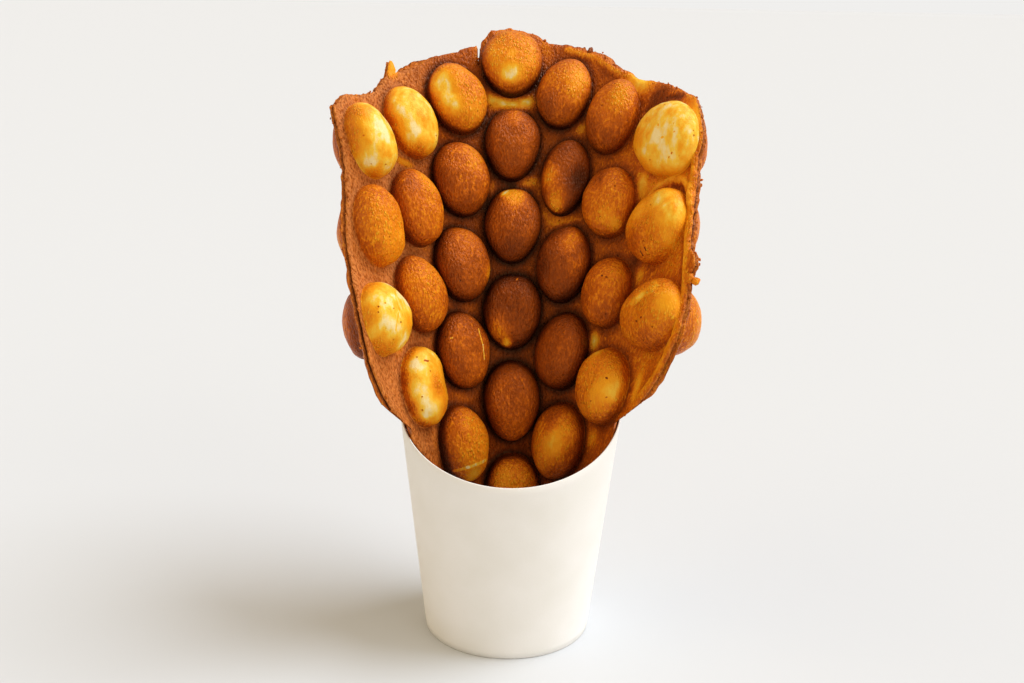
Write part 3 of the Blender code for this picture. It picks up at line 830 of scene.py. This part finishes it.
def waffle_sheet():
    """The whole waffle: web with torn layered edge and a bubble on both faces."""
    field = bubble_field()
    edge = torn_edge(field)
    flat, web_faces, edge_count = web_triangles(field, edge)
    dome_points, numbers, dome_faces = domes(field)
    shared = foot_matches(flat, dome_points)
    out = edge_outward(edge)
    edge3 = np.column_stack([edge, np.zeros(len(edge))])
    layers, faces, bake_and_light_layers, webs = [], [], [], []
    rim_loops = {}
    count = 0
    for side in (1, -1):
        web_uv = flat.copy()
        fray = 0.0005 * lumps(edge3, 0.0035, 20 + side) + 0.0003 * lumps(edge3, 0.0014, 30 + side)
        if side < 0:
            for place, reach, further in SKIN_LIPS:
                away = np.linalg.norm(edge * 1000 - place, axis=1) / reach
                fray += further / 1000 * np.exp(-away**2)
        web_uv[:edge_count] += out * fray[:, None]
        thin = np.ones(len(flat))
        thin[:edge_count] = 0.75 + 0.35 * lumps(edge3, 0.004, 40 + side)
        web_h = side * HALF_WEB * thin + side * face_relief(flat[:, 0], flat[:, 1], side)
        uv, share = shape_domes(field, dome_points, numbers, side)
        folded = 1 - smooth_step(dome_points[:, 2], 0.0, 0.30)
        relief = face_relief(dome_points[:, 0], dome_points[:, 1], side, folded)
        h = side * (HALF_WEB + share + relief)
        spread = 1.0 / (1.0 - h / CURL_RADIUS)
        cu = field[numbers][:, 0]
        lifted = smooth_step(dome_points[:, 2], 0.0, 0.2)
        uv[:, 0] = cu + (uv[:, 0] - cu) * (1 + (spread - 1) * lifted)
        own = np.flatnonzero(shared < 0)
        index = np.where(shared >= 0, shared + count, -1)
        index[own] = count + len(flat) + np.arange(len(own))
        layers.append(curl(web_uv[:, 0], web_uv[:, 1], web_h))
        layers.append(curl(uv[own, 0], uv[own, 1], h[own]))
        bake_and_light_layers.append(web_bake_and_painted_light(field, flat[:, 0], flat[:, 1], side))
        bake_and_light_layers.append(dome_bake_and_painted_light(field, dome_points, numbers, side)[own])
        webs.append(web_dullness(flat[:, 0], side))
        low = 1 - smooth_step(dome_points[own, 2], 0.0, 0.12)
        webs.append(low * web_dullness(dome_points[own, 0], side))
        turn = (lambda f: f) if side > 0 else (lambda f: f[::-1])
        faces += [turn([k + count for k in f]) for f in web_faces]
        faces += [turn([index[k] for k in f]) for f in dome_faces]
        rim_loops[side] = count + np.arange(edge_count)
        count += len(flat) + len(own)
    belts = [rim_loops[1]]
    for level, inset in ((0.45, 0.0003), (0.0, -0.0012), (-0.45, 0.0004)):
        rough = inset + 0.0004 * lumps(edge3, 0.0016, 50 + level)
        uv = edge + out * rough[:, None]
        layers.append(curl(uv[:, 0], uv[:, 1], np.full(edge_count, level * HALF_WEB)))
        # The middle belt is set back between the two skins and painted near black as shade in the gap,
        # lighter where the skins close up at the lower right
        closed = smooth_step(edge[:, 0], 0.0, 0.03) * smooth_step(-edge[:, 1], 0.012, 0.030)
        middle = 0.97 - 0.42 * closed
        bake_and_light_layers.append((0.50 if level else middle) + 0.1 * lumps(edge3, 0.003, 60))
        webs.append(np.full(edge_count, 0.6))
        belts.append(count + np.arange(edge_count))
        count += edge_count
    belts.append(rim_loops[-1])
    for upper, lower in zip(belts, belts[1:]):
        for k in range(edge_count):
            n = (k + 1) % edge_count
            faces.append((upper[k], upper[n], lower[n], lower[k]))
    # The first attribute carries how far the batter is baked together with its painted shade and
    # highlights
    attributes = {"bake": np.concatenate(bake_and_light_layers), "web": np.concatenate(webs)}
    waffle = build_mesh("baked_waffle", np.concatenate(layers), faces, attributes, BATTER)
    return waffle, edge, out


def crumbs_on_edge(edge, out):
    """Loose flakes of crust left along the torn edge."""
    sizes = {"Smallest": 0.0002, "Largest": 0.0008, "Seed": 11}
    graph, given = geometry_tree("edge_crumbs", sizes)
    lump = graph.node("GeometryNodeMeshIcoSphere", {}, {"Radius": 1.0, "Subdivisions": 2})
    at = graph.node("GeometryNodeInputPosition")
    rough = graph.node("ShaderNodeTexNoise", {}, {"Vector": at, "Scale": 1.6, "Detail": 1.0}, "Color")
    push = graph.vector("SUBTRACT", rough, (0.5, 0.5, 0.5))
    lump = graph.node("GeometryNodeSetPosition", {}, {"Geometry": lump, "Offset": push})
    seed = given.also("Seed")
    turn = graph.node(
        "FunctionNodeRandomValue", {"data_type": "FLOAT_VECTOR"},
        {"Min": (0.0, 0.0, 0.0), "Max": (6.28, 6.28, 6.28), "Seed": seed},
    )
    size = graph.node(
        "FunctionNodeRandomValue", {"data_type": "FLOAT"},
        {2: given.also("Smallest"), 3: given.also("Largest"), "Seed": seed + 1}, 1,
    )
    size = size * graph.carried("grow")
    scale = graph.node("ShaderNodeCombineXYZ", {}, {0: size, 1: size * 0.75, 2: size * 0.6})
    real = graph.scatter(given, lump, turn, scale)
    picks = [k for k in range(0, len(edge), 2) if wobble(k, 2) > CRUMB_RARITY]
    spots = np.concatenate([edge[picks] + out[picks] * CRUMB_OUT, np.array(BIG_CRUMBS)[:, :2] / 1000])
    heights = HALF_WEB * np.array([0.9 * wobble(k, 6) for k in range(len(spots))])
    places = curl(spots[:, 0], spots[:, 1], heights)
    bake = np.array([0.66 + 0.16 * wobble(k, 8) for k in picks] + [c[3] for c in BIG_CRUMBS])
    grow = np.array([1.0] * len(picks) + [c[2] for c in BIG_CRUMBS])
    carrier = scratch_object(
        "crumb_places", places, {"bake": bake, "grow": grow, "web": np.full(len(spots), 0.3)}
    )
    made = run_geometry(carrier, graph, sizes, real)
    bpy.data.objects.remove(carrier, do_unlink=True)
    made.name = "edge_crumbs"
    made.shade_smooth()
    return add_item("edge_crumbs", made)


def rim_height(radius, sine):
    """Height at which the slanted rim cuts a wall line with this foot radius."""
    front = FOOT_RADIUS + CUP_TAPER * RIM_FRONT_Z
    top = RIM_FRONT_Z + (radius * sine + front) * RIM_SLOPE
    return top / (1 - CUP_TAPER * sine * RIM_SLOPE)


def paper_cup():
    """Cup wall of rolled paper with a cut rim, an overlapped seam behind and a flat foot."""
    angles = 2 * np.pi * np.arange(SEGMENTS) / SEGMENTS
    sines = np.sin(angles)
    seam = smooth_step(np.cos(angles - SEAM_AT), math.cos(SEAM_HALF), 0.9925)

    def wall(inset, start, share, lift=0.0):
        """One ring of the wall, a share of the way from its start up to the slanted rim."""
        foot = FOOT_RADIUS - inset
        top = rim_height(foot, sines) + lift
        z = start + (top - start) * share
        radius = foot + CUP_TAPER * z
        return np.column_stack([radius * np.cos(angles), radius * sines, z])

    rows = [wall(0.0006, 0.0, 0.0), wall(0.0001, 0.00025, 0.0)]
    for band in range(1, BANDS):
        row = wall(0.0, 0.0, band / BANDS)
        row[:, :2] *= (1 + 0.0035 * seam)[:, None]
        rows.append(row)
    rows.append(wall(0.00005, 0.0, 1.0, -0.0002))
    rows.append(wall(0.0003, 0.0, 1.0))
    rows.append(wall(PAPER - 0.00005, CUP_BOTTOM, 1.0, -0.0002))
    for band in range(BANDS - 1, 0, -1):
        rows.append(wall(PAPER, CUP_BOTTOM, band / BANDS))
    rows.append(wall(PAPER, CUP_BOTTOM, 0.0))
    points = np.concatenate(rows + [np.array([[0.0, 0.0, 0.0], [0.0, 0.0, CUP_BOTTOM]])])
    faces = []
    for low in range(len(rows) - 1):
        for k in range(SEGMENTS):
            n = (k + 1) % SEGMENTS
            a, b = low * SEGMENTS, (low + 1) * SEGMENTS
            faces.append((a + k, a + n, b + n, b + k))
    under, floor = len(points) - 2, len(points) - 1
    last = (len(rows) - 1) * SEGMENTS
    for k in range(SEGMENTS):
        n = (k + 1) % SEGMENTS
        faces.append((n, k, under))
        faces.append((last + k, last + n, floor))
    return build_mesh("paper_wall", points, faces, {}, CUP_PAPER)


def principled(graph, inputs):
    """End a material in one Principled shader."""
    shader = graph.node("ShaderNodeBsdfPrincipled", {}, inputs)
    graph.node("ShaderNodeOutputMaterial", {}, {"Surface": shader})


def new_graph(name):
    material = bpy.data.materials.new(name)
    material.use_nodes = True
    material.node_tree.nodes.clear()
    return material, Graph(material.node_tree)


def noise_at(graph, place, scale, detail, roughness=0.5):
    inputs = {"Vector": place, "Scale": scale, "Detail": detail, "Roughness": roughness}
    return graph.node("ShaderNodeTexNoise", {}, inputs, "Fac")


def dome_spot(field, key, across, up):
    """Place in the frame of a point on a front bubble, given in half sizes of the bubble."""
    bubble = next(b for b in field if (b[6], b[7]) == key)
    cu, cv, width, length, height, tilt = bubble[:6]
    bend = math.acos(min(1.0, (math.hypot(across, up) / BODY_SHARE) ** (1 / DOME_POWER)))
    h = HALF_WEB + math.sin(bend) ** DOME_POWER * height
    du = across * width * math.cos(tilt) - up * length * math.sin(tilt)
    dv = across * width * math.sin(tilt) + up * length * math.cos(tilt)
    u = cu + du / (1 - h / CURL_RADIUS)
    return curl(np.array([u]), np.array([cv + dv]), np.array([h]))[0]


def stroke(graph, place, start, end, half_width):
    """1 on a thin line between two points of the surface and 0 away from it; depth counts little."""
    line = [share * (b - a) for share, a, b in zip(MARK_DEPTH, start, end)]
    length = sum(c * c for c in line)
    away = graph.vector("MULTIPLY", graph.vector("SUBTRACT", place, tuple(start)), MARK_DEPTH)
    along = graph.vector("DOT_PRODUCT", away, tuple(c / length for c in line), "Value")
    share = along.at_least(0.0).at_most(1.0)
    foot = graph.node("ShaderNodeVectorMath", {"operation": "SCALE"}, {0: tuple(line), "Scale": share})
    gap = graph.vector("DISTANCE", away, foot, "Value")
    return 1 - gap.step_up(0.5 * half_width, 1.3 * half_width)


def batter_material():
    """Baked batter: pale and smooth where little baked, brown, wrinkled and pored where well baked."""
    material, graph = new_graph("baked_batter")
    place = graph.node("ShaderNodeTexCoord", output="Object")
    tall = graph.vector("MULTIPLY", place, (1.0, 1.0, 0.48))
    # The attribute carries how far the batter is baked together with its painted shade and highlights
    bake = graph.node("ShaderNodeAttribute", {"attribute_name": "bake"}, output="Fac")
    web = graph.node("ShaderNodeAttribute", {"attribute_name": "web"}, output="Fac")
    blotch = noise_at(graph, place, 150, 3.0)
    cream = noise_at(graph, tall, 340, 2.0, 0.6)
    wrinkle = noise_at(graph, tall, 1300, 1.5, 0.5)
    fleck = noise_at(graph, tall, 760, 1.0).step_up(0.54, 0.66) * blotch.step_up(0.44, 0.56)
    grain = noise_at(graph, place, 2400, 2.0, 0.6)
    cells = graph.node("ShaderNodeTexVoronoi", {}, {"Vector": tall, "Scale": 1150.0}, "Distance")
    pore = 1 - cells.step_up(0.12, 0.48)
    pits = graph.node("ShaderNodeTexVoronoi", {}, {"Vector": place, "Scale": 420.0}, "Distance")
    rare = graph.node("ShaderNodeSeparateColor", {}, {0: pits.also("Color")}, "Red").step_up(0.86, 0.88)
    hole = (1 - pits.step_up(0.08, 0.17)) * rare
    crusty = bake.step_up(0.20, 0.55)
    pale = 1 - bake.step_up(0.12, 0.34)
    calm = 1 - bake.step_up(0.56, 0.80) * 0.4 - bake.step_up(0.80, 0.98) * 0.4
    tone = bake + ((blotch - 0.5) * 0.22 + (cream - 0.5) * (0.10 + pale * 0.55)) * calm
    # Wrinkle crests are painted paler: partly the crust's own grain, partly painted glints
    lighter = (wrinkle - 0.5).at_least(-0.06) * 0.58
    pitted = ((bake - 0.56) * 8).at_least(-1.0).at_most(1.0)
    depth = pitted.at_least(0.0) * 0.012 + pitted.at_most(0.0) * 0.25
    tone = tone + (crusty * (pore * depth - lighter + 0.015) + (grain - 0.5) * 0.09) * calm
    tone = tone - fleck * crusty * (1 - bake.step_up(0.62, 0.80)) * 0.13 + hole * (0.10 + pale * 0.30)
    field = bubble_field()
    for key, line, half_width, more in MARKS:
        spots = [dome_spot(field, key, *spot) for spot in line]
        for start, end in zip(spots, spots[1:]):
            tone = tone + stroke(graph, place, start, end, half_width / 1000) * more
    crust = graph.node("ShaderNodeValToRGB", {"stops": CRUST}, {0: tone})
    dull = web * bake.step_up(0.34, 0.56) * (1 - bake.step_up(0.66, 0.92)) * 0.62
    dusty = (wrinkle - pore * 0.35).step_up(0.20, 0.62)
    dusty = graph.mix(dusty, linear(DULL_DARK), linear(DULL_WEB))
    colour = graph.mix(dull, crust, dusty)
    relief = wrinkle * (0.15 + crusty * 0.85) - pore * crusty * pitted.at_most(0.3) * 0.70
    relief = relief + grain * 0.25 + cream * 0.3 - hole * 0.6
    bump = graph.node("ShaderNodeBump", {}, {"Strength": 1.0, "Distance": 0.0007, "Height": relief})
    principled(graph, {
        "Base Color": colour, "Roughness": 0.36 + crusty * 0.02 + web * 0.16, "Normal": bump,
        "Specular IOR Level": 0.34, "Specular Tint": linear(GLOSS_TINT),
    })
    return material


def paper_material():
    """Matt white cup board with a faint fibre."""
    material, graph = new_graph("white_paper")
    place = graph.node("ShaderNodeTexCoord", output="Object")
    fibre = noise_at(graph, place, 1400, 4.0, 0.65)
    cloud = noise_at(graph, place, 60, 2.0)
    mix = (fibre - 0.5) * 0.25 + cloud
    tint = graph.node("ShaderNodeValToRGB", {"stops": PAPER_TINTS}, {0: mix})
    bump = graph.node("ShaderNodeBump", {}, {"Strength": 0.12, "Distance": 0.0002, "Height": fibre})
    principled(graph, {
        "Base Color": tint, "Roughness": 0.62 + fibre * 0.1, "Normal": bump,
        "Specular IOR Level": 0.35,
    })
    return material


def pale_floor():
    """A plain floor that runs far past the view on every side."""
    reach = 30.0
    corners = [(-reach, -reach, 0.0), (reach, -reach, 0.0), (reach, reach, 0.0), (-reach, reach, 0.0)]
    material, graph = new_graph("pale_floor")
    principled(graph, {"Base Color": linear(FLOOR), "Roughness": 0.9, "Specular IOR Level": 0.1})
    item = build_mesh("floor", corners, [(0, 1, 2, 3)], {}, material)


def soft_sun(name, azimuth, elevation, spread, strength, colour):
    """Even light from far away; azimuth is measured from the front to the right."""
    lamp = bpy.data.lights.new(name, "SUN")
    lamp.energy = strength * math.pi
    lamp.angle = math.radians(spread)
    lamp.color = colour
    item = add_item(name, lamp)
    turn, rise = math.radians(azimuth), math.radians(elevation)
    towards = Vector((math.sin(turn) * math.cos(rise), -math.cos(turn) * math.cos(rise), math.sin(rise)))
    item.location = towards
    item.rotation_euler = (-towards).to_track_quat("-Z", "Y").to_euler()


def light_the_stage():
    for sun in SUNS:
        soft_sun(*sun)
    world = bpy.data.worlds.new("soft_room")
    bpy.context.scene.world = world
    world.use_nodes = True
    world.node_tree.nodes.clear()
    graph = Graph(world.node_tree)
    seen = graph.node("ShaderNodeLightPath", output="Is Camera Ray")
    colour = graph.mix(seen, ROOM_LIGHT, linear(WALL))
    shader = graph.node("ShaderNodeBackground", {}, {"Color": colour, "Strength": 1.0})
    graph.node("ShaderNodeOutputWorld", {}, {"Surface": shader})
    bpy.context.scene.view_settings.view_transform = "Standard"


def camera():
    eye = bpy.data.cameras.new("camera")
    eye.sensor_width = SENSOR_MM
    eye.lens = FOCAL_PX * SENSOR_MM / FRAME_WIDTH_PX
    eye.clip_start = 0.01
    item = add_item("camera", eye)
    aim = Vector((0.0, 0.0, AIM_HEIGHT))
    offset = Vector((0.0, -math.cos(CAMERA_ELEVATION), math.sin(CAMERA_ELEVATION)))
    item.location = aim + offset * CAMERA_DISTANCE
    look = (aim - item.location).to_track_quat("-Z", "Y").to_matrix().to_4x4()
    item.rotation_euler = (look @ Matrix.Rotation(CAMERA_ROLL, 4, "Z")).to_euler()
    bpy.context.scene.camera = item


BATTER = batter_material()
CUP_PAPER = paper_material()

waffle, edge, outward = waffle_sheet()
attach(waffle, "root")
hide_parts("waffle")

crumbs = crumbs_on_edge(edge, outward)
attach(crumbs, "root")

cup = paper_cup()
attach(cup, "root")
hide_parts("paper_cup")

pale_floor()
light_the_stage()
camera()
